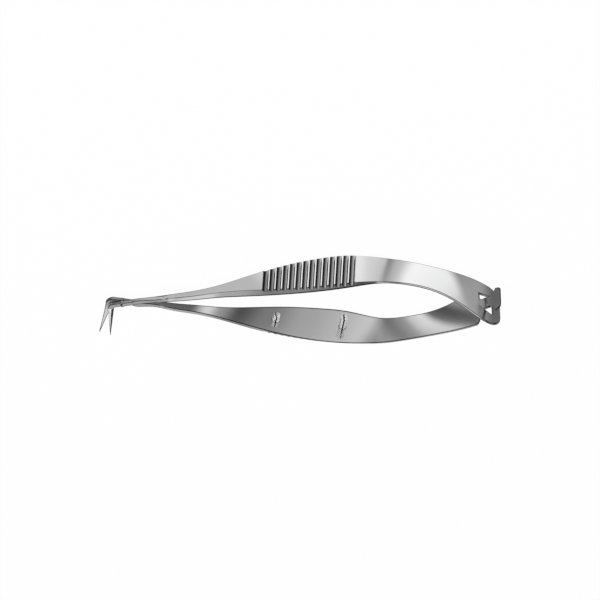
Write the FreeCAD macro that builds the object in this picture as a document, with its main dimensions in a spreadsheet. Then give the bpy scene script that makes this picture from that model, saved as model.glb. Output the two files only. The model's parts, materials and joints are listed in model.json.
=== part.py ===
"""Spring-handled capsulotomy scissors with strongly angled blades, lying on their side.

Two one-piece halves cross at a pivot close to the blades.  Each half is a shank that
swells into a flat ribbed grip and thins out into a leaf spring.  At the tail the lower
spring ends in a tongue whose wide head hooks through a window in the upper spring.

The halves are drawn from the pivot: X runs back along the arms, Y is the way they open
(upper half +Y, lower half -Y) and Z is the width, which stands up as the scissors lie.
"""
import FreeCAD
import Part
import Sketcher
import math
import os

Vector = FreeCAD.Vector
doc = FreeCAD.newDocument("scissors")
sheet = doc.addObject("Spreadsheet::Sheet", "sizes")


# Driving dimensions

# One row for each cross-section of the arms, from the pivot to the tail:
# run from the section before, height of the inner face of the upper and of the lower half,
# width of the inner face, width of the outer face, thickness, sideways stagger
STATIONS = {
    "hinge": (2.2, 0.02, -0.02, 0.72, 0.72, 1.0, 0.39),
    "fork": (2.0, 0.42, -0.42, 0.74, 0.74, 1.0, 0.41),
    "shank": (2.4, 0.95, -0.6, 1.0, 0.95, 0.8, 0.47),
    "shaft": (3.9, 1.31, -1.27, 1.5, 1.2, 0.9, 0.25),
    "neck": (4.5, 1.9, -1.95, 1.95, 1.45, 1.0, 0.12),
    "swell": (5.5, 3.12, -3.1, 3.0, 2.15, 1.15, 0.0),
    "flare": (6.5, 4.87, -4.5, 5.4, 4.3, 1.3, 0.0),
    "grip_front": (7.0, 6.82, -5.75, 7.9, 6.6, 1.15, 0.0),
    "grip_middle": (7.0, 8.43, -6.93, 9.2, 7.7, 0.95, 0.0),
    "grip_rear": (7.0, 9.65, -7.92, 8.9, 7.5, 0.75, 0.0),
    "leaf_front": (6.0, 9.74, -8.7, 6.95, 6.7, 0.46, 0.0),
    "leaf_waist": (6.0, 8.79, -7.88, 6.4, 6.2, 0.46, 0.0),
    "leaf_rear": (6.0, 6.6, -6.0, 6.8, 6.6, 0.5, 0.0),
    "leaf_flare": (5.0, 3.5, -3.35, 8.6, 8.4, 0.55, 0.0),
    "tail": (4.0, 0.27, -0.7, 10.2, 10.0, 0.58, 0.0),
    "tail_tip": (4.6, -3.1, 2.3, 10.1, 9.9, 0.58, 0.0),
}
STATION_SIZES = ("run", "upper", "lower", "inner_width", "outer_width", "thickness", "stagger")

SIZES = {
    # crossing and bend
    "plate_thickness": 0.72,
    "shear_gap": 0.03,
    "boss_radius": 0.65,
    "shank_overlap": 0.4,
    "shank_height": 0.95,
    "shank_slope": 10.2,
    "upper_bend_radius": 1.2,
    "lower_bend_radius": 1.7,
    "lower_crown_rise": 0.15,
    # blades: depth below the pivot, and the two edges in front of it
    "blade_root_depth": 1.2,
    "blade_facet_depth": 2.5,
    "upper_blade_depth": 10.0,
    "lower_blade_depth": 9.25,
    "upper_cutting_root": 2.95,
    "upper_back_root": 1.68,
    "upper_cutting_tip": 2.78,
    "upper_back_tip": 2.66,
    "lower_cutting_root": 2.26,
    "lower_back_root": 3.46,
    "lower_cutting_tip": 4.92,
    "lower_back_tip": 5.05,
    "ridge_share": 0.58,
    "cutting_edge": 0.12,
    "blade_back": 0.32,
    "tip_height": 0.22,
    "tip_edge": 0.06,
    # ribs across the grips, from the flare back
    "rib_lead": 3.1,
    "rib_pitch": 1.407,
    "rib_count": 14,
    "rib_depth": 0.4,
    "rib_land": 0.2,
    "rib_lean": 2.8,
    # tail of the upper half, from the tail section
    "tail_length": 4.15,
    "tail_corner_radius": 3.1,
    "tail_corner_length": 2.5,
    "tail_corner_drop": 3.4,
    "window_lead": 0.5,
    "window_length": 2.85,
    "window_front_width": 3.4,
    "window_rear_width": 5.0,
    # tongue of the lower half
    "shoulder_lead": 0.1,
    "shoulder_radius": 1.1,
    "shoulder_width": 9.9,
    "tongue_root_radius": 0.5,
    "neck_width": 2.8,
    "neck_length": 2.15,
    "head_length": 2.15,
    "head_width": 5.9,
    "head_radius": 1.0,
    # pivot pin
    "pivot_radius": 0.22,
    "pivot_clearance": 0.03,
    "rivet_head_radius": 0.34,
    "rivet_head_height": 0.06,
    "rivet_head_gap": 0.02,
    # stop pin ahead of the grip's front section, guide pin ahead of its rear one
    "pin_seat_depth": 0.45,
    "stop_pin_lead": 1.85,
    "stop_pin_radius": 0.68,
    "stop_pin_height": 1.75,
    "stop_pin_foot_radius": 0.8,
    "stop_pin_foot_height": 0.3,
    "guide_pin_lead": 1.85,
    "guide_pin_radius": 0.75,
    "guide_pin_height": 3.5,
    "guide_pin_dome": 0.45,
}


def fill_sheet():
    rows = dict(SIZES)
    for station, values in STATIONS.items():
        for name, value in zip(STATION_SIZES, values):
            rows[station + "_" + name] = value
    for row, (alias, value) in enumerate(rows.items(), start=1):
        sheet.set("A%d" % row, alias)
        sheet.set("B%d" % row, str(value))
        sheet.setAlias("B%d" % row, alias)
    doc.recompute()


class Size:
    """A length or angle known both as a number and as an expression on the sheet."""

    def __init__(self, value, text):
        self.value = float(value)
        self.text = text

    def join(self, other, sign, value):
        return Size(value, "(%s %s %s)" % (self.text, sign, other.text))

    def __add__(self, other):
        other = as_size(other)
        return self.join(other, "+", self.value + other.value)

    def __sub__(self, other):
        other = as_size(other)
        return self.join(other, "-", self.value - other.value)

    def __mul__(self, other):
        other = as_size(other)
        return self.join(other, "*", self.value * other.value)

    def __truediv__(self, other):
        other = as_size(other)
        return self.join(other, "/", self.value / other.value)

    def __neg__(self):
        return Size(-self.value, "(0 - %s)" % self.text)


def as_size(item):
    if isinstance(item, Size):
        return item
    return Size(item, repr(float(item)))


def size(alias):
    return Size(sheet.get(alias), "sizes." + alias)


def station(name, what):
    return size(name + "_" + what)


def along(name):
    """Distance of a section from the pivot: the runs up to it, added up."""
    names = list(STATIONS)
    total = station(names[0], "run")
    for step in names[1:names.index(name) + 1]:
        total = total + station(step, "run")
    return total


def tail_end():
    return along("tail") + size("tail_length")


def sine(angle):
    return Size(math.sin(math.radians(angle.value)), "sin(%s * 1deg)" % angle.text)


def cosine(angle):
    return Size(math.cos(math.radians(angle.value)), "cos(%s * 1deg)" % angle.text)


def slope_angle(rise, run):
    degrees = math.degrees(math.atan(rise.value / run.value))
    return Size(degrees, "(atan(%s / %s) / 1deg)" % (rise.text, run.text))


def bind(item, path, amount):
    item.setExpression(path, amount.text)


def place(item, along, height, across, turn=None):
    """Put an object at a place in the part's frame, turned clockwise about its width."""
    rotation = FreeCAD.Rotation(Vector(0, 0, -1), turn.value if turn else 0)
    base = Vector(along.value, height.value, across.value)
    item.Placement = FreeCAD.Placement(base, rotation)
    bind(item, "Placement.Base.x", along)
    bind(item, "Placement.Base.y", height)
    bind(item, "Placement.Base.z", across)
    if turn:
        bind(item, "Placement.Rotation.Angle", turn)


# Sketches

def origin_feature(body, role):
    return [f for f in body.Origin.OriginFeatures if f.Role == role][0]


def new_sketch(body, name, plane, offset=None):
    sketch = body.newObject("Sketcher::SketchObject", name)
    sketch.AttachmentSupport = [(origin_feature(body, plane), "")]
    sketch.MapMode = "FlatFace"
    if offset:
        sketch.AttachmentOffset = FreeCAD.Placement(Vector(0, 0, offset.value), FreeCAD.Rotation())
        bind(sketch, "AttachmentOffset.Base.z", offset)
    return sketch


def arc_between(start, end, radius, turns_left):
    """The shorter arc of a given radius from start to end."""
    chord = end - start
    half = chord.Length / 2
    rise = math.sqrt(max(radius * radius - half * half, 0.0))
    side = Vector(-chord.y, chord.x, 0).normalize() * (1 if turns_left else -1)
    centre = start + chord * 0.5 + side * rise
    middle = centre - side * radius
    if turns_left:
        return Part.Arc(start, middle, end)
    return Part.Arc(end, middle, start)


def draw(sketch, corners, arcs=None):
    """A closed outline.  arcs maps a corner's number to (radius, turns_left): the
    stretch from that corner to the next is then an arc, otherwise it is straight."""
    arcs = arcs or {}
    points = [Vector(x.value, y.value, 0) for x, y in corners]
    count = len(points)
    first = []
    last = []
    for i in range(count):
        start = points[i]
        end = points[(i + 1) % count]
        if i in arcs:
            radius, turns_left = arcs[i]
            sketch.addGeometry(arc_between(start, end, radius.value, turns_left), False)
            # a sketch arc always runs anticlockwise, so a right-hand one is drawn backwards
            first.append(1 if turns_left else 2)
            last.append(2 if turns_left else 1)
            row = sketch.addConstraint(Sketcher.Constraint("Radius", i, radius.value))
            bind(sketch, "Constraints[%d]" % row, radius)
        else:
            sketch.addGeometry(Part.LineSegment(start, end), False)
            first.append(1)
            last.append(2)
    for i in range(count):
        following = (i + 1) % count
        sketch.addConstraint(
            Sketcher.Constraint("Coincident", i, last[i], following, first[following]))
    for i, (x, y) in enumerate(corners):
        for kind, amount in (("DistanceX", x), ("DistanceY", y)):
            row = sketch.addConstraint(
                Sketcher.Constraint(kind, -1, 1, i, first[i], amount.value))
            bind(sketch, "Constraints[%d]" % row, amount)
    return sketch


def add_circle(sketch, radius):
    circle = Part.Circle(Vector(0, 0, 0), Vector(0, 0, 1), radius.value)
    index = sketch.addGeometry(circle, False)
    sketch.addConstraint(Sketcher.Constraint("Coincident", index, 3, -1, 1))
    row = sketch.addConstraint(Sketcher.Constraint("Radius", index, radius.value))
    bind(sketch, "Constraints[%d]" % row, radius)


# The front of a half: crossing plate, angled bend and blade

def plate_outline(upper):
    """Side view of the crossing shank and the bend, down to the root of the blade."""
    slope = size("shank_slope")
    rise = sine(slope) / cosine(slope)
    half = size("shank_height") / 2
    rear = along("hinge") + size("shank_overlap")
    root = -size("blade_root_depth")
    bend = size("upper_bend_radius" if upper else "lower_bend_radius")
    if upper:
        outer = -size("upper_cutting_root")
        inner = -size("upper_back_root")
        crown = outer + bend
        corners = [
            (rear, rear * rise + half),
            (crown, crown * rise + half),
            (outer, crown * rise + half - bend),
            (outer, root),
            (inner, root),
            (inner, inner * rise - half),
            (rear, rear * rise - half),
        ]
    else:
        outer = -size("lower_back_root")
        inner = -size("lower_cutting_root")
        crown = outer + bend
        top = -crown * rise + half + size("lower_crown_rise")
        corners = [
            (rear, -rear * rise + half),
            (crown, top),
            (outer, top - bend),
            (outer, root),
            (inner, root),
            (inner, -inner * rise - half),
            (rear, -rear * rise - half),
        ]
    return corners, {1: (bend, True)}


def pad_plate(body, sketch, upper):
    gap = size("shear_gap") / 2
    level = gap if upper else -gap
    sketch.AttachmentOffset = FreeCAD.Placement(Vector(0, 0, level.value), FreeCAD.Rotation())
    bind(sketch, "AttachmentOffset.Base.z", level)
    pad = body.newObject("PartDesign::Pad", sketch.Name + "_pad")
    pad.Profile = sketch
    pad.Reversed = not upper
    bind(pad, "Length", size("plate_thickness"))


def add_plate(body, upper):
    corners, arcs = plate_outline(upper)
    crossing = draw(new_sketch(body, body.Name + "_crossing", "XY_Plane"), corners, arcs)
    pad_plate(body, crossing, upper)
    boss = new_sketch(body, body.Name + "_boss", "XY_Plane")
    add_circle(boss, size("boss_radius"))
    pad_plate(body, boss, upper)


def blade_section(body, name, upper, depth, cutting, back, edge, ridge, spine):
    """Cross-section of a blade: flat against the other blade, ridged outside."""
    side = 1 if upper else -1
    gap = size("shear_gap") / 2 * side
    share = size("ridge_share")
    crest = cutting + (back - cutting) * share
    corners = [
        (cutting, gap),
        (back, gap),
        (back, gap + spine * side),
        (crest, gap + ridge * side),
        (cutting, gap + edge * side),
    ]
    return draw(new_sketch(body, name, "XZ_Plane", depth), corners)


def add_blade(body, upper):
    prefix = "upper_" if upper else "lower_"
    root = size("blade_root_depth")
    facet = size("blade_facet_depth")
    tip = size(prefix + "blade_depth")
    full = size("plate_thickness")
    cutting_root = -size(prefix + "cutting_root")
    cutting_tip = -size(prefix + "cutting_tip")
    back_root = -size(prefix + "back_root")
    back_tip = -size(prefix + "back_tip")
    share = (facet - root) / (tip - root)
    cutting_facet = cutting_root + (cutting_tip - cutting_root) * share
    back_facet = back_root + (back_tip - back_root) * share
    edge = size("cutting_edge")
    spine = size("blade_back")
    tip_edge = size("tip_edge")
    sections = [
        blade_section(body, prefix + "blade_root", upper, root - 0.1,
                      cutting_root, back_root, full, full, full),
        blade_section(body, prefix + "blade_facet", upper, facet,
                      cutting_facet, back_facet, edge, full, spine),
        blade_section(body, prefix + "blade_tip", upper, tip,
                      cutting_tip, back_tip, tip_edge, size("tip_height"), tip_edge),
    ]
    blade = body.newObject("PartDesign::AdditiveLoft", prefix + "blade")
    blade.Profile = sections[0]
    blade.Sections = sections[1:]
    blade.Ruled = True


# The arm of a half: shank, grip and leaf spring in one smooth loft

def arm_section(body, name, upper):
    """Trapezoid section, its wide side facing the other half."""
    side = 1 if upper else -1
    inner = station(name, "upper" if upper else "lower")
    outer = inner + station(name, "thickness") * side
    middle = station(name, "stagger") * side
    inner_half = station(name, "inner_width") / 2
    outer_half = station(name, "outer_width") / 2
    corners = [
        (inner, middle - inner_half),
        (outer, middle - outer_half),
        (outer, middle + outer_half),
        (inner, middle + inner_half),
    ]
    sketch = new_sketch(body, body.Name + "_" + name, "YZ_Plane", along(name))
    return draw(sketch, corners)


def add_arm(body, upper):
    sections = [arm_section(body, name, upper) for name in STATIONS]
    arm = body.newObject("PartDesign::AdditiveLoft", body.Name + "_arm")
    arm.Profile = sections[0]
    arm.Sections = sections[1:]
    arm.Ruled = False


# Ribs across the grip, cut as scallops on an arc that follows the outer face

def outer_height(name, upper):
    if upper:
        return station(name, "upper") + station(name, "thickness")
    return -(station(name, "lower") - station(name, "thickness"))


def add_ribs(body, upper):
    start = along("flare") + size("rib_lead")
    pitch = size("rib_pitch")
    depth = size("rib_depth")
    side = 1 if upper else -1
    grip = ("flare", "grip_front", "grip_middle", "grip_rear")
    near = [along(name) for name in grip]
    high = [outer_height(name, upper) for name in grip]
    front_slope = slope_angle(high[1] - high[0], near[1] - near[0])
    rear_slope = slope_angle(high[3] - high[2], near[3] - near[2])
    run = (near[3] + near[2] - near[1] - near[0]) / 2
    radius = run / (sine(front_slope) - sine(rear_slope))
    reach = (near[1] + near[0]) / 2 - start
    first_slope = front_slope + reach / radius * math.degrees(1)
    height = high[0] + (high[1] - high[0]) * (start - near[0]) / (near[1] - near[0])
    centre_along = start + radius * sine(first_slope)
    centre_height = height - radius * cosine(first_slope)

    sketch = new_sketch(body, body.Name + "_scallop", "XY_Plane")
    sketch.AttachmentOffset = FreeCAD.Placement(
        Vector(centre_along.value, centre_height.value * side, 0),
        FreeCAD.Rotation(Vector(0, 0, side), first_slope.value))
    bind(sketch, "AttachmentOffset.Base.x", centre_along)
    bind(sketch, "AttachmentOffset.Base.y", centre_height * side)
    bind(sketch, "AttachmentOffset.Rotation.Angle", first_slope)

    # each scallop falls from one rounded crest and climbs to the next
    half = (pitch - size("rib_land")) / 2
    crest_radius = (half * half + depth * depth) / (depth * 2)
    crest = radius * side
    top = (radius + 1.0) * side
    corners = [
        (-half, crest),
        (as_size(0), (radius - depth) * side),
        (half, crest),
        (half, top),
        (-half, top),
    ]
    arcs = {0: (crest_radius, not upper), 1: (crest_radius, not upper)}
    draw(sketch, corners, arcs)
    before = body.Tip.Shape.Volume
    pocket = body.newObject("PartDesign::Pocket", body.Name + "_scallop_cut")
    pocket.Profile = sketch
    pocket.Type = "Length"
    pocket.SideType = "Symmetric"
    bind(pocket, "Length", station("grip_middle", "inner_width") * 2)
    pocket.UseCustomVector = True
    lean = size("rib_lean")
    pocket.Direction = Vector(-sine(lean).value, 0, cosine(lean).value)
    bind(pocket, "Direction.x", -sine(lean))
    bind(pocket, "Direction.z", cosine(lean))
    doc.recompute()
    assert pocket.Shape.Volume < before
    ribs = body.newObject("PartDesign::PolarPattern", body.Name + "_ribs")
    ribs.Originals = [pocket]
    ribs.Axis = (sketch, ["N_Axis"])
    ribs.Reversed = upper
    ribs.Mode = "Spacing"
    bind(ribs, "Occurrences", size("rib_count"))
    bind(ribs, "Offset", pitch / radius * math.degrees(1))
    body.Tip = ribs
    doc.recompute()
    assert ribs.Shape.Volume < pocket.Shape.Volume


# Tails

def cut_tail(body, sketch, name):
    """Cut an outline out of the tail, which stays close to the middle plane."""
    before = body.Tip.Shape.Volume
    pocket = body.newObject("PartDesign::Pocket", name)
    pocket.Profile = sketch
    pocket.Type = "Length"
    pocket.SideType = "Symmetric"
    bind(pocket, "Length", station("tail", "inner_width"))
    doc.recompute()
    assert pocket.Shape.Volume < before - 1.0, name


def trim_upper_tail(body):
    """Round the end of the upper spring and open its window."""
    end = tail_end()
    half = station("tail", "inner_width") / 2
    margin = half + 2.0
    start = end - size("tail_corner_length")
    flat = half - size("tail_corner_drop")
    beyond = along("tail_tip") + 2.0
    radius = size("tail_corner_radius")
    corners = [
        (start, half),
        (end, flat),
        (end, -flat),
        (start, -half),
        (start, -margin),
        (beyond, -margin),
        (beyond, margin),
        (start, margin),
    ]
    arcs = {0: (radius, False), 2: (radius, False)}
    sketch = draw(new_sketch(body, "tail_waste", "XZ_Plane"), corners, arcs)
    cut_tail(body, sketch, "tail_trim")

    front = along("tail") - size("window_lead")
    rear = front + size("window_length")
    front_half = size("window_front_width") / 2
    rear_half = size("window_rear_width") / 2
    corners = [(front, -front_half), (rear, -rear_half), (rear, rear_half), (front, front_half)]
    cut_tail(body, draw(new_sketch(body, "window", "XZ_Plane"), corners), "window_cut")


def trim_lower_tail(body):
    """Cut the lower spring down to its shoulders, neck and wide head."""
    end = along("tail") - size("shoulder_lead")
    shoulder = size("shoulder_radius")
    wide = size("shoulder_width") / 2
    outside = station("tail", "inner_width") / 2 + 2.0
    root = size("tongue_root_radius")
    neck = size("neck_width") / 2
    head_front = end + size("neck_length")
    head_end = head_front + size("head_length")
    head = size("head_width") / 2
    round_off = size("head_radius")
    beyond = along("tail_tip") + 2.0
    start = end - shoulder
    upper_side = [
        (start, wide),
        (end, wide - shoulder),
        (end, neck + root),
        (end + root, neck),
        (head_front, neck),
        (head_front + round_off, head),
        (head_end, head - round_off),
    ]
    lower_side = [(x, -y) for x, y in reversed(upper_side)]
    frame = [(start, -outside), (beyond, -outside), (beyond, outside), (start, outside)]
    arcs = {
        0: (shoulder, False),
        2: (root, True),
        4: (size("head_width") / 2, True),
        5: (round_off * 1.1, False),
        7: (round_off * 1.1, False),
        8: (size("head_width") / 2, True),
        10: (root, True),
        12: (shoulder, False),
    }
    corners = upper_side + lower_side + frame
    sketch = draw(new_sketch(body, "tongue_waste", "XZ_Plane"), corners, arcs)
    cut_tail(body, sketch, "tongue_trim")


# Pins

def turned_pin(name, corners, arcs=None):
    """A pin turned about its own upright axis from a half outline."""
    body = doc.addObject("PartDesign::Body", name)
    sketch = draw(new_sketch(body, name + "_outline", "XY_Plane"), corners, arcs)
    turn = body.newObject("PartDesign::Revolution", name + "_turned")
    turn.Profile = sketch
    turn.ReferenceAxis = (sketch, ["V_Axis"])
    turn.Angle = 360
    return body


def seat_of(name, lead):
    """Place, height and slope of the lower half's inner face ahead of a section."""
    names = list(STATIONS)
    near = names[names.index(name) - 1]
    slope = (station(name, "lower") - station(near, "lower")) / station(name, "run")
    height = station(name, "lower") - slope * lead
    return along(name) - lead, height, slope_angle(slope, as_size(1))


def make_stop_pin():
    zero = as_size(0)
    radius = size("stop_pin_radius")
    foot = size("stop_pin_foot_radius")
    foot_height = size("stop_pin_foot_height")
    height = size("stop_pin_height")
    depth = -size("pin_seat_depth")
    edge = radius / 4
    corners = [
        (zero, depth),
        (foot, depth),
        (foot, foot_height),
        (radius, foot_height + 0.1),
        (radius, height - edge),
        (radius - edge, height),
        (zero, height),
    ]
    return turned_pin("stop_pin", corners, {4: (edge, True)})


def make_guide_pin():
    zero = as_size(0)
    radius = size("guide_pin_radius")
    height = size("guide_pin_height")
    dome = size("guide_pin_dome")
    dome_radius = (radius * radius + dome * dome) / (dome * 2)
    corners = [
        (zero, -size("pin_seat_depth")),
        (radius, -size("pin_seat_depth")),
        (radius, height - dome),
        (zero, height),
    ]
    return turned_pin("guide_pin", corners, {2: (dome_radius, True)})


def make_pivot_pin():
    """A rivet whose heads stand just proud of the two bosses."""
    zero = as_size(0)
    radius = size("pivot_radius")
    head = size("rivet_head_radius")
    proud = size("rivet_head_height")
    face = size("shear_gap") / 2 + size("plate_thickness")
    under_head = face + size("rivet_head_gap")
    dome_radius = (head * head + proud * proud) / (proud * 2)
    corners = [
        (zero, -face - proud),
        (head, -face),
        (radius, -face),
        (radius, under_head),
        (head, under_head),
        (zero, under_head + proud),
    ]
    return turned_pin("pivot_pin", corners, {0: (dome_radius, True), 4: (dome_radius, True)})


# Halves

def make_half(name, upper):
    body = doc.addObject("PartDesign::Body", name)
    add_plate(body, upper)
    add_blade(body, upper)
    add_arm(body, upper)
    doc.recompute()
    add_ribs(body, upper)
    if upper:
        trim_upper_tail(body)
    else:
        trim_lower_tail(body)
    return body


def make_cut(name, base, tool):
    cut = doc.addObject("Part::Cut", name)
    cut.Base = base
    cut.Tool = tool
    return cut


def build():
    fill_sheet()
    # the frame's origin is under the middle of the closed outline, on the surface
    frame_along = -(tail_end() - size("lower_back_tip")) / 2
    top = station("grip_rear", "upper") + station("grip_rear", "thickness")
    frame_height = -(top - size("upper_blade_depth")) / 2
    frame_across = station("tail", "inner_width") / 2
    frame = (frame_along, frame_height, frame_across)

    upper_body = make_half("upper_blank", True)
    lower_body = make_half("lower_blank", False)
    for body in (upper_body, lower_body):
        place(body, *frame)

    stop_pin = make_stop_pin()
    guide_pin = make_guide_pin()
    for pin, name, lead in (
            (stop_pin, "grip_front", size("stop_pin_lead")),
            (guide_pin, "grip_rear", size("guide_pin_lead"))):
        seat, height, slope = seat_of(name, lead)
        place(pin, frame_along + seat, frame_height + height, frame_across, -slope)

    pivot_pin = make_pivot_pin()
    pivot_pin.Placement = FreeCAD.Placement(
        Vector(frame_along.value, frame_height.value, frame_across.value),
        FreeCAD.Rotation(Vector(1, 0, 0), 90))
    for axis, amount in zip("xyz", frame):
        bind(pivot_pin, "Placement.Base." + axis, amount)

    bore = doc.addObject("Part::Cylinder", "pivot_bore")
    bind(bore, "Radius", size("pivot_radius") + size("pivot_clearance"))
    bind(bore, "Height", size("plate_thickness") * 4)
    place(bore, frame_along, frame_height, frame_across - size("plate_thickness") * 2)

    upper_half = make_cut("upper_half", upper_body, bore)
    seated_stop = make_cut("lower_with_stop_seat", lower_body, stop_pin)
    seated_guide = make_cut("lower_with_guide_seat", seated_stop, guide_pin)
    lower_half = make_cut("lower_half", seated_guide, pivot_pin)
    doc.recompute()
    return [upper_half, lower_half, pivot_pin, stop_pin, guide_pin]


def check_and_write(pieces):
    for item in doc.Objects:
        state = " ".join(item.State)
        if "Invalid" in state or "Error" in state:
            raise RuntimeError("%s did not recompute: %s" % (item.Name, state))
    for piece in pieces:
        shape = piece.Shape
        if shape.isNull() or not shape.isValid() or len(shape.Solids) != 1:
            raise RuntimeError("%s is not one valid solid" % piece.Name)
        box = shape.BoundBox
        print("%s volume %.3f box %.3f %.3f %.3f to %.3f %.3f %.3f" % (
            piece.Name, shape.Volume, box.XMin, box.YMin, box.ZMin, box.XMax, box.YMax, box.ZMax))
    os.makedirs("parts", exist_ok=True)
    for piece in pieces:
        piece.Shape.exportStep("parts/%s.step" % piece.Label)


check_and_write(build())
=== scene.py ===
"""Dresses the angled capsulotomy scissors: steel halves, polished pins, pale studio."""
import json
import math

import bmesh
import bpy
from mathutils import Matrix, Vector


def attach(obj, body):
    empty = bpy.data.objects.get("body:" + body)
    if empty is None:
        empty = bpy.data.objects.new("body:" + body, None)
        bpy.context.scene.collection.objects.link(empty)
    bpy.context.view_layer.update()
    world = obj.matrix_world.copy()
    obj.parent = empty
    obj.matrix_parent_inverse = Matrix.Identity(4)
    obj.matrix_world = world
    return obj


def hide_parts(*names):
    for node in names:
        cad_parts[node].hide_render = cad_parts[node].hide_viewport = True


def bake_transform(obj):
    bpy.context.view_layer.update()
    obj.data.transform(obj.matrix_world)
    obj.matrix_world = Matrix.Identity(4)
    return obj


bl_info = {
    "name": "Capsulotomy Scissors",
    "version": (1, 0, 0),
    "blender": (4, 5, 0),
    "location": "3D View > Sidebar > Scissors",
    "description": "Spring-handled eye scissors with angled blades",
    "category": "Add Mesh",
}

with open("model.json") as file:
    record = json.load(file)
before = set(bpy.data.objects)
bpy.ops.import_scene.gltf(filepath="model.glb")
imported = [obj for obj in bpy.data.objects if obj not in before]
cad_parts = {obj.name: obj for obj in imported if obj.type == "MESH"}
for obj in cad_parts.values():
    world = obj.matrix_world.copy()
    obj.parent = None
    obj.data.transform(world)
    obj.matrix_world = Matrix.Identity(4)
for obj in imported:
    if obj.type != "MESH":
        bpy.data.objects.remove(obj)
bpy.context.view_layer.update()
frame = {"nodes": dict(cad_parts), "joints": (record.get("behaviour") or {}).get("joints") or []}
MM = 0.001

PIVOT = Vector(frame["joints"][0]["pos_m"])

# The photograph's frame in pixels, and the pivot's place in it
FRAME_PIXELS = 600
PIVOT_PIXEL = (122.0, 302.4)
SENSOR_WIDTH = 36.0
NEAREST_SEEN = 0.01

# The grips' outer faces where the ribs are, in mm: distances from the pivot, and the height of
# each half over the pivot there
GRIP_ALONG = (27.0, 34.0, 41.0, 48.0)
GRIP_HEIGHTS = {"upper_half": (6.17, 7.97, 9.38, 10.40), "lower_half": (5.8, 6.9, 7.88, 8.67)}
GROOVE_START = 30.1
GROOVE_PITCH = 1.407
GROOVE_COUNT = 14

# The bars that cut the hollows
BAR_LENGTH = 14 * MM
BAR_SIDES = 72

# A rib's crest looks this squarely outwards, and stands within this distance of the grip's face
CREST_FACING = 0.8
CREST_REACH = GROOVE_PITCH * MM / 5

# A blade lies before the first and beside the second of these distances from the pivot
BLADE_ROOT = (0.5 * MM, -1.3 * MM)

# Points closer than this are one, and edges shorter than this go
MERGE_DISTANCE = 1e-7
SLIVER_LENGTH = 1e-8

# Edges that turn by more than this are broken, behind the fine blades and shanks
BROKEN_ANGLE = math.radians(40)
BLADE_CLEARANCE = 8 * MM
BREAK_SEGMENTS = 2

# The slots in a half's mesh for its materials, the crests' painted highlight and the blades'
# painted shade: the first two come from the cut of the hollows
CREST_SLOT = 2
BLADE_SLOT = 3

# The polishing grain: its frequencies along and across the instrument, and its height
GRAIN_SCALE = (400, 6000, 6000)
GRAIN_HEIGHT = 0.02 * MM

# Rays for each point of the painted shade along an edge
MARGIN_RAYS = 12

# In the ramps below each pair is a place, from 0 to 1, and the grey level there.
# The painted shade in a margin along an edge, from the edge inwards
EDGE_SHADE = ((0.0, 0.03), (0.66, 0.04), (0.78, 0.4), (0.88, 1.0))
# The painted shade on the tail, and the stretch of the instrument where it darkens
TAIL_SHADE = ((0.0, 1.0), (1.0, 0.4))
TAIL_START = PIVOT.x + 74.6 * MM
TAIL_END = PIVOT.x + 77.8 * MM
# The painted shade across a hollow between ribs, from its front wall to its rear one
GROOVE_SHADE = ((0.0, 0.01), (0.22, 0.01), (0.4, 0.2), (0.78, 0.55), (0.86, 0.3), (0.93, 0.95))
# The painted reflection on a pin, by the way it faces, from its front side to its rear one
PIN_SHADE = (
    (0.0, 0.2), (0.06, 0.7), (0.2, 1.0), (0.34, 0.9), (0.39, 0.01), (0.56, 0.01),
    (0.61, 1.0), (0.94, 1.0), (1.0, 0.3),
)
# The painted shade and highlight on each half's blade, by the way it faces, from its front side
# to its rear one
BLADE_SHADE = {
    "upper_half": ((0.0, 0.6), (0.1, 0.95), (0.45, 0.95), (0.52, 0.3), (0.56, 0.01), (1.0, 0.01)),
    "lower_half": ((0.0, 0.2), (0.08, 0.5), (0.14, 0.7), (0.8, 0.75), (0.9, 0.4), (1.0, 0.1)),
}

# The floor: half its side, how much of what the camera sees of it is plain white, and the
# stretch across the instrument over which the inner strips below give way to the outer ones
FLOOR_REACH = 3.0
FLOOR_WHITE = 0.97
STRIP_LENGTH = 80 * MM
INNER_EDGE = 5 * MM
OUTER_EDGE = 7 * MM
# The floor that the steel mirrors, from the pivot to the tail: outside the upper half, and in
# the space between the halves
OUTER_STRIPS = (
    (0.0, 0.6), (0.3, 0.6), (0.37, 0.9), (0.62, 1.0), (0.66, 0.8), (0.695, 0.7), (0.706, 0.3),
    (0.735, 0.6), (0.79, 1.15), (0.9, 1.05), (0.95, 0.95), (1.0, 0.75),
)
INNER_STRIPS = (
    (0.0, 0.12), (0.2, 0.12), (0.25, 0.85), (0.285, 0.35), (0.33, 0.09), (0.4, 0.24),
    (0.5, 0.45), (0.61, 0.6), (0.66, 0.7), (0.69, 0.2), (0.72, 0.35), (0.745, 0.75),
    (0.765, 0.9), (0.79, 0.14), (0.82, 0.09), (0.86, 0.34), (0.98, 0.4),
)
# The room, from behind the instrument to the front
ROOM_DEPTH = (
    (0.0, 0.5), (0.12, 0.42), (0.3, 0.22), (0.42, 0.3), (0.48, 0.08), (0.6, 0.15), (1.0, 0.16),
)
# Its share of that from the left to the right
ROOM_WIDTH = (
    (0.0, 2.2), (0.25, 2.2), (0.42, 1.0), (0.56, 1.0), (0.58, 0.15), (0.61, 0.15),
    (0.63, 1.2), (0.77, 1.2), (0.82, 0.02), (1.0, 0.02),
)
# Lamps, each with its place, its two sides, its power and whether the steel mirrors it
LAMPS = (
    ("overhead", (0.0, -0.29, 0.95), (0.7, 0.42), 0.5, True),
    ("front_left", (-0.5, 0.45, 0.74), (0.3, 0.3), 4.0, False),
    ("front_right", (0.5, 0.45, 0.74), (0.3, 0.3), 4.0, False),
)


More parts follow.
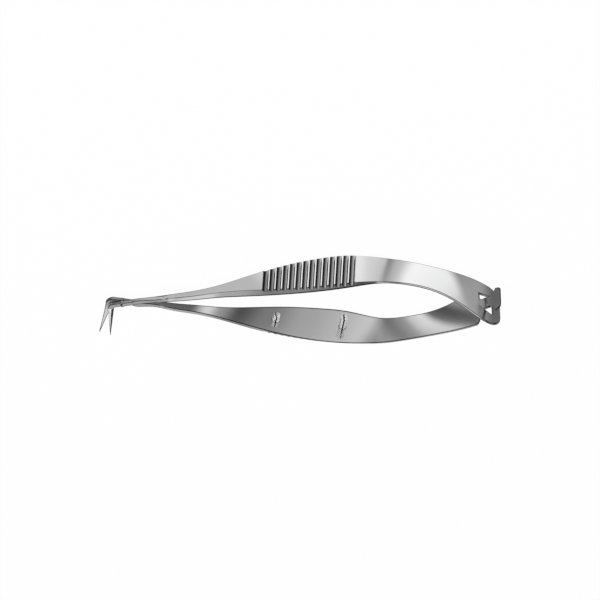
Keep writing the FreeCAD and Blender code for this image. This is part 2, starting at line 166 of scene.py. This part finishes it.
class ScissorsFinish(bpy.types.PropertyGroup):
    steel_tint: bpy.props.FloatVectorProperty(
        name="Steel", description="Colour of the satin steel halves",
        subtype="COLOR", size=3, min=0, max=1, default=(0.8, 0.8, 0.805))
    steel_roughness: bpy.props.FloatProperty(
        name="Steel Roughness", description="How soft reflections in the halves are",
        subtype="FACTOR", min=0, max=1, default=0.2)
    grain: bpy.props.FloatProperty(
        name="Polishing Grain", description="Depth of the fine polishing grain",
        subtype="FACTOR", min=0, max=1, default=0.04)
    # The widths of the painted shade along the edges and along the blades' edges
    edge_margin: bpy.props.FloatProperty(
        name="Edge Margin", description="Width of the darker margin along the edges",
        subtype="DISTANCE", unit="LENGTH", min=0, default=0.24 * MM)
    blade_margin: bpy.props.FloatProperty(
        name="Blade Margin", description="Width of the darker margin along the blades' edges",
        subtype="DISTANCE", unit="LENGTH", min=0, default=0.19 * MM)
    # The crests' colour is a painted highlight, brighter than the steel's tint
    crest_highlight_tint: bpy.props.FloatVectorProperty(
        name="Rib Crests", description="Colour of the polished crests of the ribs",
        subtype="COLOR", size=3, min=0, max=1, default=(1.0, 1.0, 1.0))
    pin_roughness: bpy.props.FloatProperty(
        name="Pin Roughness", description="How soft reflections in the pins are",
        subtype="FACTOR", min=0, max=1, default=0.1)
    small_metal: bpy.props.FloatProperty(
        name="Small Parts' Metal",
        description="How far the pins and blades mirror rather than scatter light",
        subtype="FACTOR", min=0, max=1, default=0.15)


class ScissorsShape(bpy.types.PropertyGroup):
    seam_angle: bpy.props.FloatProperty(
        name="Crease Angle", description="Edges that turn by more than this stay crisp",
        subtype="ANGLE", min=0, max=math.pi, default=math.radians(24))
    groove_depth: bpy.props.FloatProperty(
        name="Groove Depth", description="Depth of the hollows between the grips' ribs",
        subtype="DISTANCE", unit="LENGTH", min=0, default=0.45 * MM)
    lower_groove_depth: bpy.props.FloatProperty(
        name="Lower Groove Depth", description="Depth of those on the lower half's thinner grip",
        subtype="DISTANCE", unit="LENGTH", min=0, default=0.33 * MM)
    crest_width: bpy.props.FloatProperty(
        name="Rib Crest", description="Width left on the crest of each rib",
        subtype="DISTANCE", unit="LENGTH", min=0, default=0.24 * MM)
    rib_lean: bpy.props.FloatProperty(
        name="Rib Lean", description="Turn of the ribs out of square with the grip",
        subtype="ANGLE", default=math.radians(2.8))
    edge_round: bpy.props.FloatProperty(
        name="Edge Rounding", description="Radius broken on the ground edges",
        subtype="DISTANCE", unit="LENGTH", min=0, default=0.1 * MM)


class ScissorsStage(bpy.types.PropertyGroup):
    view_tilt: bpy.props.FloatProperty(
        name="View Tilt", description="Angle between the line of sight and straight down",
        subtype="ANGLE", default=math.radians(48))
    view_roll: bpy.props.FloatProperty(
        name="View Roll", description="Turn of the camera about its line of sight",
        subtype="ANGLE", default=0.0)
    view_distance: bpy.props.FloatProperty(
        name="View Distance", description="Distance from the camera to the pivot plane",
        subtype="DISTANCE", unit="LENGTH", default=1.0)
    pixels_per_mm: bpy.props.FloatProperty(
        name="Scale in Frame", description="Pixels of the frame for each millimetre",
        default=4.78)
    paper: bpy.props.FloatVectorProperty(
        name="Floor", description="Colour of the floor",
        subtype="COLOR", size=3, min=0, max=1, default=(0.95, 0.95, 0.95))


def finish_settings():
    return bpy.context.scene.scissors_finish


def shape_settings():
    return bpy.context.scene.scissors_shape


def stage_settings():
    return bpy.context.scene.scissors_stage


# Materials

def grey_ramp(nodes, stops):
    """A soft ramp through grey levels."""
    ramp = nodes.new("ShaderNodeValToRGB")
    elements = ramp.color_ramp.elements
    ramp.color_ramp.interpolation = "EASE"
    while len(elements) < len(stops):
        elements.new(0.5)
    for element, (where, level) in zip(elements, stops):
        element.position = where
        element.color = (level, level, level, 1)
    return ramp


def ramp_over(tree, value, lowest, highest, stops):
    """Grey levels spread over a range of a value."""
    spread = tree.nodes.new("ShaderNodeMapRange")
    spread.inputs["From Min"].default_value = lowest
    spread.inputs["From Max"].default_value = highest
    ramp = grey_ramp(tree.nodes, stops)
    tree.links.new(value, spread.inputs["Value"])
    tree.links.new(spread.outputs["Result"], ramp.inputs["Fac"])
    return ramp.outputs["Color"]


def attribute(tree, name):
    """The value that the piece's mesh carries under that name."""
    node = tree.nodes.new("ShaderNodeAttribute")
    node.attribute_name = name
    return node.outputs["Fac"]


def coordinates(tree, kind):
    """The three parts of a texture coordinate."""
    place = tree.nodes.new("ShaderNodeTexCoord")
    parts = tree.nodes.new("ShaderNodeSeparateXYZ")
    tree.links.new(place.outputs[kind], parts.inputs["Vector"])
    return parts.outputs


def product(nodes):
    """A node that multiplies two colours, A and B."""
    node = nodes.new("ShaderNodeMix")
    node.data_type = "RGBA"
    node.blend_type = "MULTIPLY"
    node.inputs["Factor"].default_value = 1.0
    return node


def make_steel(name, roughness, tint=(1, 1, 1), grain=0.0):
    """Metal, with a fine grain drawn out along the instrument where one is asked for."""
    steel = bpy.data.materials.new(name)
    steel.use_nodes = True
    nodes = steel.node_tree.nodes
    links = steel.node_tree.links
    surface = nodes["Principled BSDF"]
    surface.inputs["Metallic"].default_value = 1.0
    surface.inputs["Base Color"].default_value = (*tint, 1.0)
    surface.inputs["Roughness"].default_value = roughness
    if grain > 0:
        place = nodes.new("ShaderNodeTexCoord")
        stretch = nodes.new("ShaderNodeMapping")
        stretch.inputs["Scale"].default_value = GRAIN_SCALE
        noise = nodes.new("ShaderNodeTexNoise")
        noise.inputs["Scale"].default_value = 1.0
        noise.inputs["Detail"].default_value = 2.0
        bump = nodes.new("ShaderNodeBump")
        bump.inputs["Strength"].default_value = grain
        bump.inputs["Distance"].default_value = GRAIN_HEIGHT
        links.new(place.outputs["Object"], stretch.inputs["Vector"])
        links.new(stretch.outputs["Vector"], noise.inputs["Vector"])
        links.new(noise.outputs["Fac"], bump.inputs["Height"])
        links.new(bump.outputs["Normal"], surface.inputs["Normal"])
    return steel


def multiply_base(steel, shade):
    """Multiply the steel's colour by a shade."""
    links = steel.node_tree.links
    base = steel.node_tree.nodes["Principled BSDF"].inputs["Base Color"]
    tone = product(steel.node_tree.nodes)
    tone.inputs["A"].default_value = base.default_value
    if base.is_linked:
        links.new(base.links[0].from_socket, tone.inputs["A"])
    links.new(shade, tone.inputs["B"])
    links.new(tone.outputs["Result"], base)


def paint_tail_shade(steel):
    """Painted shade on the hooked tail: the steel's colour darkens towards the rear."""
    tree = steel.node_tree
    along = coordinates(tree, "Object")["X"]
    multiply_base(steel, ramp_over(tree, along, TAIL_START, TAIL_END, TAIL_SHADE))
    return steel


def paint_edge_shade(steel, width):
    """Painted shade in a narrow margin along every outside edge, found with rays cast inside the
    steel.
    """
    near_edge = steel.node_tree.nodes.new("ShaderNodeAmbientOcclusion")
    near_edge.inside = True
    near_edge.only_local = True
    near_edge.samples = MARGIN_RAYS
    near_edge.inputs["Distance"].default_value = width
    margin = grey_ramp(steel.node_tree.nodes, EDGE_SHADE)
    steel.node_tree.links.new(near_edge.outputs["AO"], margin.inputs["Fac"])
    multiply_base(steel, margin.outputs["Color"])
    return steel


def paint_shade_by_facing(steel, stops):
    """Painted shade and highlight by the way a surface faces, from the front of the instrument to
    its rear.
    """
    tree = steel.node_tree
    surface = tree.nodes["Principled BSDF"]
    surface.inputs["Metallic"].default_value = finish_settings().small_metal
    shade = ramp_over(tree, attribute(tree, "facing"), -1.0, 1.0, stops)
    tree.links.new(shade, surface.inputs["Base Color"])
    return steel


def steel_material():
    """Satin steel, with painted shade in a margin along its edges and on the tail."""
    settings = finish_settings()
    steel = make_steel(
        "satin_steel", settings.steel_roughness, settings.steel_tint, settings.grain)
    return paint_edge_shade(paint_tail_shade(steel), settings.edge_margin)


def groove_shade_material():
    """Painted shade in the hollows between the ribs: dark behind each crest, brighter up the next
    one.
    """
    steel = make_steel("groove_painted_shade", finish_settings().steel_roughness)
    tree = steel.node_tree
    shade = ramp_over(tree, attribute(tree, "across"), -1.0, 1.0, GROOVE_SHADE)
    tree.links.new(shade, tree.nodes["Principled BSDF"].inputs["Base Color"])
    return steel


def crest_highlight_material():
    """A painted highlight on the crests of the ribs: steel brighter than that beside them."""
    settings = finish_settings()
    return make_steel(
        "crest_painted_highlight", settings.steel_roughness, settings.crest_highlight_tint, settings.grain)


def pin_reflection_material():
    """Polished steel with a painted reflection: bright sides and a dark streak down its middle,
    by the way each point faces.
    """
    steel = make_steel("pin_painted_reflection", finish_settings().pin_roughness)
    return paint_shade_by_facing(steel, PIN_SHADE)


def blade_shade_material(node):
    """Steel with painted shade and highlight, lighter on one side of the blade than on the other,
    and painted shade along its edges.
    """
    settings = finish_settings()
    steel = make_steel("blade_painted_shade_" + node, settings.steel_roughness)
    return paint_edge_shade(paint_shade_by_facing(steel, BLADE_SHADE[node]), settings.blade_margin)


def shared(name, make):
    """The material of that name, made when it is first asked for."""
    return bpy.data.materials.get(name) or make()


# Pieces

def groove_places(node):
    """Where each hollow between ribs lies: its middle on the crest line, and the way along."""
    side = 1 if node == "upper_half" else -1
    high = GRIP_HEIGHTS[node]
    front = math.atan2(high[1] - high[0], GRIP_ALONG[1] - GRIP_ALONG[0])
    rear = math.atan2(high[3] - high[2], GRIP_ALONG[3] - GRIP_ALONG[2])
    run = (GRIP_ALONG[3] + GRIP_ALONG[2] - GRIP_ALONG[1] - GRIP_ALONG[0]) / 2
    radius = run / (math.sin(front) - math.sin(rear))
    slope = front + ((GRIP_ALONG[1] + GRIP_ALONG[0]) / 2 - GROOVE_START) / radius
    height = high[0] + (GROOVE_START - GRIP_ALONG[0]) * math.tan(front)
    centre = Vector((GROOVE_START + radius * math.sin(slope), height - radius * math.cos(slope)))
    places = []
    for i in range(GROOVE_COUNT):
        turn = slope - i * GROOVE_PITCH / radius
        away = Vector((-math.sin(turn), math.cos(turn)))
        middle = centre + away * radius
        outward = Vector((away.x, away.y * side, 0))
        onward = Vector((away.y, -away.x * side, 0))
        spot = PIVOT + Vector((middle.x, middle.y * side, 0)) * MM
        places.append((spot, outward, onward))
    return places


def groove_cutter(node, material):
    """Round bars laid across the grip, one for each hollow."""
    settings = shape_settings()
    half = (GROOVE_PITCH * MM - settings.crest_width) / 2
    depth = settings.groove_depth if node == "upper_half" else settings.lower_groove_depth
    radius = (half * half + depth * depth) / (2 * depth)
    lean = Matrix.Rotation(-settings.rib_lean, 3, "Y")
    shell = bmesh.new()
    for spot, outward, onward in groove_places(node):
        made = bmesh.ops.create_cone(
            shell, cap_ends=True, segments=BAR_SIDES, radius1=radius, radius2=radius,
            depth=BAR_LENGTH)
        bmesh.ops.rotate(shell, verts=made["verts"], cent=(0, 0, 0), matrix=lean)
        bmesh.ops.translate(shell, verts=made["verts"], vec=spot + outward * (radius - depth))
    mesh = bpy.data.meshes.new("groove_bars")
    shell.to_mesh(mesh)
    shell.free()
    mesh.materials.append(material)
    cutter = bpy.data.objects.new("groove_bars", mesh)
    bpy.context.scene.collection.objects.link(cutter)
    return cutter


def cut_grooves(piece, node):
    """Hollow the spaces between the ribs, with their own painted shade."""
    cutter = groove_cutter(node, shared("groove_painted_shade", groove_shade_material))
    cut = piece.modifiers.new("hollows", "BOOLEAN")
    cut.operation = "DIFFERENCE"
    cut.solver = "EXACT"
    cut.material_mode = "TRANSFER"
    cut.object = cutter
    graph = bpy.context.evaluated_depsgraph_get()
    ground = bpy.data.meshes.new_from_object(piece.evaluated_get(graph))
    plain = piece.data
    piece.modifiers.remove(cut)
    piece.data = ground
    bpy.data.meshes.remove(plain)
    bars = cutter.data
    bpy.data.objects.remove(cutter)
    bpy.data.meshes.remove(bars)
    if len(ground.materials) < 2:
        raise RuntimeError("the hollows did not cut " + node)
    mark_across(piece, node)
    ground.materials.append(shared("crest_painted_highlight", crest_highlight_material))
    ground.materials.append(blade_shade_material(node))
    mark_painted_faces(ground, node)


def mark_painted_faces(mesh, node):
    """Give the crests of the ribs their painted highlight and the blades their painted shade."""
    places = groove_places(node)
    for face in mesh.polygons:
        centre = face.center
        if face.material_index:
            continue
        if centre.x < PIVOT.x + BLADE_ROOT[0] and centre.y < PIVOT.y + BLADE_ROOT[1]:
            face.material_index = BLADE_SLOT
        elif places[0][0].x < centre.x < places[-1][0].x:
            spot, outward, _ = min(places, key=lambda place: abs(centre.x - place[0].x))
            lifted = abs((centre - spot).dot(outward))
            if face.normal.dot(outward) > CREST_FACING and lifted < CREST_REACH:
                face.material_index = CREST_SLOT


def mark_across(piece, node):
    """Write how far each point of a hollow lies from its middle, front -1 to rear 1, for the
    painted shade in the hollows.
    """
    half = (GROOVE_PITCH * MM - shape_settings().crest_width) / 2
    places = groove_places(node)
    lean = math.tan(shape_settings().rib_lean)
    shell = bmesh.new()
    shell.from_mesh(piece.data)
    across = shell.loops.layers.float.new("across")
    for face in shell.faces:
        if face.material_index == 0:
            continue
        centre = face.calc_center_median()
        shift = (centre.z - PIVOT.z) * lean
        spot, _, onward = min(places, key=lambda place: abs(centre.x + shift - place[0].x))
        for loop in face.loops:
            point = loop.vert.co
            offset = (point - spot).dot(onward) + (point.z - PIVOT.z) * lean
            loop[across] = max(-1.0, min(1.0, offset / half))
    shell.to_mesh(piece.data)
    shell.free()


def crease_edges(mesh):
    """Keep edges crisp that turn by more than the crease angle, and mark those to break."""
    crease = shape_settings().seam_angle
    shell = bmesh.new()
    shell.from_mesh(mesh)
    for face in shell.faces:
        face.smooth = True
    broken = shell.edges.layers.float.new("bevel_weight_edge")
    behind_blades = PIVOT.x + BLADE_CLEARANCE
    for edge in shell.edges:
        angle = edge.calc_face_angle() if len(edge.link_faces) == 2 else math.pi
        edge.smooth = angle < crease
        if angle > BROKEN_ANGLE and min(vert.co.x for vert in edge.verts) > behind_blades:
            edge[broken] = 1.0
    shell.to_mesh(mesh)
    shell.free()


def mark_facing(mesh):
    """Write how far each corner faces along the instrument, front -1 to rear 1, for the painted
    shade of pins and blades.
    """
    sides = [corner.vector.x for corner in mesh.corner_normals]
    mesh.attributes.new("facing", "FLOAT", "CORNER").data.foreach_set("value", sides)


def merged_copy(node, material):
    """A merged copy of a CAD node that stands for it in the scene."""
    mesh = bpy.data.meshes.new(node + "_finished")
    shell = bmesh.new()
    shell.from_mesh(frame["nodes"][node].data)
    bmesh.ops.remove_doubles(shell, verts=shell.verts, dist=MERGE_DISTANCE)
    bmesh.ops.dissolve_degenerate(shell, edges=shell.edges, dist=SLIVER_LENGTH)
    shell.to_mesh(mesh)
    shell.free()
    mesh.materials.append(material)
    piece = bpy.data.objects.new(node + "_finished", mesh)
    bpy.context.scene.collection.objects.link(piece)
    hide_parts(node)
    return piece


def break_edges(piece):
    """Round the edges that are marked for it, as a light stroke with a stone would."""
    broken = piece.modifiers.new("broken_edges", "BEVEL")
    broken.limit_method = "WEIGHT"
    broken.width = shape_settings().edge_round
    broken.segments = BREAK_SEGMENTS
    broken.profile = 0.5
    broken.use_clamp_overlap = True
    broken.material = -1


def finish_half(node):
    """One half with its hollows, its painted shade and highlights, and its broken edges."""
    piece = merged_copy(node, shared("satin_steel", steel_material))
    cut_grooves(piece, node)
    crease_edges(piece.data)
    mark_facing(piece.data)
    break_edges(piece)
    return piece


class ScissorsUpperHalf(bpy.types.Operator):
    """The half with the window, whose leaf spring bends as the scissors are squeezed"""
    bl_idname = "scissors.upper_half"
    bl_label = "Upper Half"

    def execute(self, context):
        piece = finish_half("upper_half")
        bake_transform(piece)
        return {"FINISHED"}


class ScissorsLowerHalf(bpy.types.Operator):
    """The half with the tongue, which carries the pins"""
    bl_idname = "scissors.lower_half"
    bl_label = "Lower Half"

    def execute(self, context):
        piece = finish_half("lower_half")
        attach(piece, "lower_arm")
        return {"FINISHED"}


class ScissorsPins(bpy.types.Operator):
    """The pivot rivet, the short stop pin and the longer guide pin"""
    bl_idname = "scissors.pins"
    bl_label = "Pins"

    def execute(self, context):
        for node in ("pivot_pin", "stop_pin", "guide_pin"):
            piece = merged_copy(node, shared("pin_painted_reflection", pin_reflection_material))
            crease_edges(piece.data)
            mark_facing(piece.data)
            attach(piece, "lower_arm")
        return {"FINISHED"}


# Stage

def make_floor(settings):
    """Plain paper: white to the camera, with soft grey strips for the steel to mirror."""
    shell = bmesh.new()
    bmesh.ops.create_grid(shell, x_segments=1, y_segments=1, size=FLOOR_REACH)
    mesh = bpy.data.meshes.new("floor")
    shell.to_mesh(mesh)
    shell.free()
    floor = bpy.data.objects.new("floor", mesh)
    bpy.context.scene.collection.objects.link(floor)
    paper = bpy.data.materials.new("paper")
    paper.use_nodes = True
    tree = paper.node_tree
    nodes = tree.nodes
    links = tree.links
    surface = nodes["Principled BSDF"]
    surface.inputs["Base Color"].default_value = (*settings.paper, 1.0)
    surface.inputs["Roughness"].default_value = 0.9
    surface.inputs["Specular IOR Level"].default_value = 0.0
    rays = nodes.new("ShaderNodeLightPath")

    # what the camera sees: white paper that keeps a faint shadow
    white = nodes.new("ShaderNodeEmission")
    white.inputs["Strength"].default_value = 1.0
    keep = nodes.new("ShaderNodeMath")
    keep.operation = "MULTIPLY"
    keep.inputs[1].default_value = FLOOR_WHITE
    seen = nodes.new("ShaderNodeMixShader")
    links.new(rays.outputs["Is Camera Ray"], keep.inputs[0])
    links.new(keep.outputs[0], seen.inputs["Fac"])
    links.new(surface.outputs["BSDF"], seen.inputs[1])
    links.new(white.outputs["Emission"], seen.inputs[2])

    # what the steel mirrors: strips across the instrument, inner and outer ones
    place = coordinates(tree, "Object")
    side = nodes.new("ShaderNodeMapRange")
    side.inputs["From Min"].default_value = INNER_EDGE
    side.inputs["From Max"].default_value = OUTER_EDGE
    strips = nodes.new("ShaderNodeMix")
    strips.data_type = "RGBA"
    for stops, socket in ((INNER_STRIPS, "A"), (OUTER_STRIPS, "B")):
        shade = ramp_over(tree, place["X"], PIVOT.x, PIVOT.x + STRIP_LENGTH, stops)
        links.new(shade, strips.inputs[socket])
    mirrored = nodes.new("ShaderNodeEmission")
    mirrored.inputs["Strength"].default_value = 1.0
    mixed = nodes.new("ShaderNodeMixShader")
    links.new(place["Y"], side.inputs["Value"])
    links.new(side.outputs["Result"], strips.inputs["Factor"])
    links.new(strips.outputs["Result"], mirrored.inputs["Color"])
    links.new(rays.outputs["Is Glossy Ray"], mixed.inputs["Fac"])
    links.new(seen.outputs["Shader"], mixed.inputs[1])
    links.new(mirrored.outputs["Emission"], mixed.inputs[2])
    links.new(mixed.outputs["Shader"], nodes["Material Output"].inputs["Surface"])
    mesh.materials.append(paper)


def make_lamp(name, place, sides, power, mirrored):
    """A soft rectangular lamp that looks at the middle of the floor."""
    light = bpy.data.lights.new(name, "AREA")
    light.shape = "RECTANGLE"
    light.size, light.size_y = sides
    light.energy = power
    lamp = bpy.data.objects.new(name, light)
    lamp.location = place
    lamp.rotation_euler = (-Vector(place)).to_track_quat("-Z", "Y").to_euler()
    lamp.visible_glossy = mirrored
    bpy.context.scene.collection.objects.link(lamp)


def make_world():
    """The room: pale walls behind and to the left, dark ones in front and to the right."""
    world = bpy.data.worlds.new("studio")
    bpy.context.scene.world = world
    world.use_nodes = True
    tree = world.node_tree
    nodes = tree.nodes
    links = tree.links
    nodes.clear()
    output = nodes.new("ShaderNodeOutputWorld")
    room = nodes.new("ShaderNodeBackground")
    room.inputs["Strength"].default_value = 1.0
    white = nodes.new("ShaderNodeBackground")
    white.inputs["Color"].default_value = (1, 1, 1, 1)
    white.inputs["Strength"].default_value = 1.0
    direction = coordinates(tree, "Generated")
    share = product(nodes)
    for axis, stops, socket in (("Y", ROOM_DEPTH, "A"), ("X", ROOM_WIDTH, "B")):
        links.new(ramp_over(tree, direction[axis], -1.0, 1.0, stops), share.inputs[socket])
    links.new(share.outputs["Result"], room.inputs["Color"])
    rays = nodes.new("ShaderNodeLightPath")
    blend = nodes.new("ShaderNodeMixShader")
    links.new(rays.outputs["Is Camera Ray"], blend.inputs["Fac"])
    links.new(room.outputs["Background"], blend.inputs[1])
    links.new(white.outputs["Background"], blend.inputs[2])
    links.new(blend.outputs["Shader"], output.inputs["Surface"])


def make_camera(settings):
    """A long lens at the photograph's angle, its frame laid out from the pivot's pixel."""
    tilt = settings.view_tilt
    towards = Vector((0, math.sin(tilt), math.cos(tilt)))
    up = Vector((0, math.cos(tilt), -math.sin(tilt)))
    right = up.cross(towards)
    roll = Matrix.Rotation(settings.view_roll, 3, towards)
    up = roll @ up
    right = roll @ right
    metres_per_pixel = MM / settings.pixels_per_mm
    aside = FRAME_PIXELS / 2 - PIVOT_PIXEL[0]
    above = PIVOT_PIXEL[1] - FRAME_PIXELS / 2
    aim = PIVOT + right * aside * metres_per_pixel + up * above * metres_per_pixel
    place = aim + towards * settings.view_distance
    camera = bpy.data.objects.new("camera", bpy.data.cameras.new("camera"))
    camera.data.sensor_width = SENSOR_WIDTH
    camera.data.lens = SENSOR_WIDTH * settings.view_distance / (FRAME_PIXELS * metres_per_pixel)
    camera.data.clip_start = NEAREST_SEEN
    turn = Matrix((right, up, towards)).transposed()
    camera.matrix_world = Matrix.Translation(place) @ turn.to_4x4()
    bpy.context.scene.collection.objects.link(camera)
    bpy.context.scene.camera = camera


class ScissorsStudio(bpy.types.Operator):
    """Pale floor, soft lamps and the photograph's camera"""
    bl_idname = "scissors.studio"
    bl_label = "Studio"

    def execute(self, context):
        settings = stage_settings()
        make_floor(settings)
        make_world()
        for lamp in LAMPS:
            make_lamp(*lamp)
        make_camera(settings)
        context.scene.view_settings.view_transform = "Standard"
        return {"FINISHED"}


class ScissorsPanel(bpy.types.Panel):
    """Lists the pieces of the scissors"""
    bl_idname = "VIEW3D_PT_scissors"
    bl_label = "Capsulotomy Scissors"
    bl_space_type = "VIEW_3D"
    bl_region_type = "UI"
    bl_category = "Scissors"

    def draw(self, context):
        layout = self.layout
        for group in (finish_settings(), shape_settings(), stage_settings()):
            for name in group.bl_rna.properties.keys():
                if name not in ("rna_type", "name"):
                    layout.prop(group, name)
        for piece in PIECES:
            layout.operator(piece.bl_idname)


SETTINGS = (ScissorsFinish, ScissorsShape, ScissorsStage)
PIECES = (ScissorsUpperHalf, ScissorsLowerHalf, ScissorsPins, ScissorsStudio)


def register():
    for item in SETTINGS + PIECES + (ScissorsPanel,):
        bpy.utils.register_class(item)
    bpy.types.Scene.scissors_finish = bpy.props.PointerProperty(type=ScissorsFinish)
    bpy.types.Scene.scissors_shape = bpy.props.PointerProperty(type=ScissorsShape)
    bpy.types.Scene.scissors_stage = bpy.props.PointerProperty(type=ScissorsStage)


def unregister():
    del bpy.types.Scene.scissors_finish
    del bpy.types.Scene.scissors_shape
    del bpy.types.Scene.scissors_stage
    for item in reversed(SETTINGS + PIECES + (ScissorsPanel,)):
        bpy.utils.unregister_class(item)


def main():
    register()
    bpy.ops.scissors.upper_half()
    bpy.ops.scissors.lower_half()
    bpy.ops.scissors.pins()
    bpy.ops.scissors.studio()


if __name__ == "__main__":
    main()
